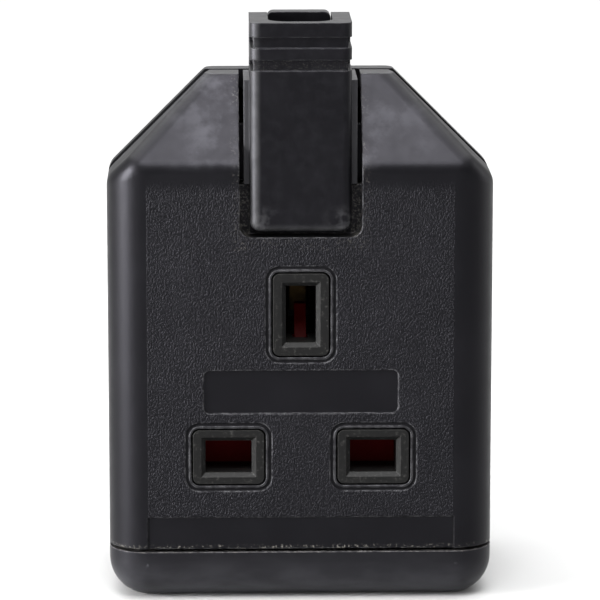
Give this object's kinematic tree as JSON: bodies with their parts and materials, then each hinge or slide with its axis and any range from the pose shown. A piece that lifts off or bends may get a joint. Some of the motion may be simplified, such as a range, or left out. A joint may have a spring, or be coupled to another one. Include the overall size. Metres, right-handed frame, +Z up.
{
  "type": "trailing socket",
  "caption": "Heavy duty rubber trailing socket for a flat three-pin plug, with sloping shoulders, ribbed cord guard and sprung red shutter.",
  "frame": {"origin": "middle of the housing's footprint, on the surface that its bottom lip stands on", "axes": "+Z up towards the cable entry, -Y out of the plug face, +X to the right seen from the front"},
  "size_m": [0.0592, 0.04, 0.0898],
  "materials": {
    "front_rubber": "fine leather grain, smooth slopes and bottom band",
    "back_rubber": "smooth satin",
    "guard_rubber": "smooth satin",
    "insert_plastic": "matt moulded",
    "base_plastic": "matt moulded",
    "clamp_plastic": "matt moulded",
    "shutter_plastic": "satin moulded",
    "spring_steel": "drawn",
    "screw_steel": "zinc plated",
    "brass": "pressed and machined"
  },
  "bodies": {
    "housing": {"back_cover": "back_rubber", "cord_clamp": "clamp_plastic", "cord_clamp_screws": "screw_steel", "cord_guard": "guard_rubber", "cover_bushes": "brass", "cover_screws": "screw_steel", "earth_clip": "spring_steel", "earth_contact": "brass", "earth_terminal": "brass", "front_cover": "front_rubber", "insert_base": "base_plastic", "insert_screws": "screw_steel", "live_clip": "spring_steel", "live_contact": "brass", "live_terminal": "brass", "neutral_clip": "spring_steel", "neutral_contact": "brass", "neutral_terminal": "brass", "shutter_spring": "spring_steel", "socket_insert": "insert_plastic", "terminal_screws": "screw_steel"},
    "shutter": {"shutter": "shutter_plastic"}
  },
  "joints": [
    {"name": "shutter_slide", "type": "slide", "parent": "housing", "child": "shutter", "axis": [0, 0, -1], "range_m": [0, 0.0055], "stiffness_N_per_m": 150, "springref_m": -0.008, "deforming": ["shutter_spring"]}
  ]
}
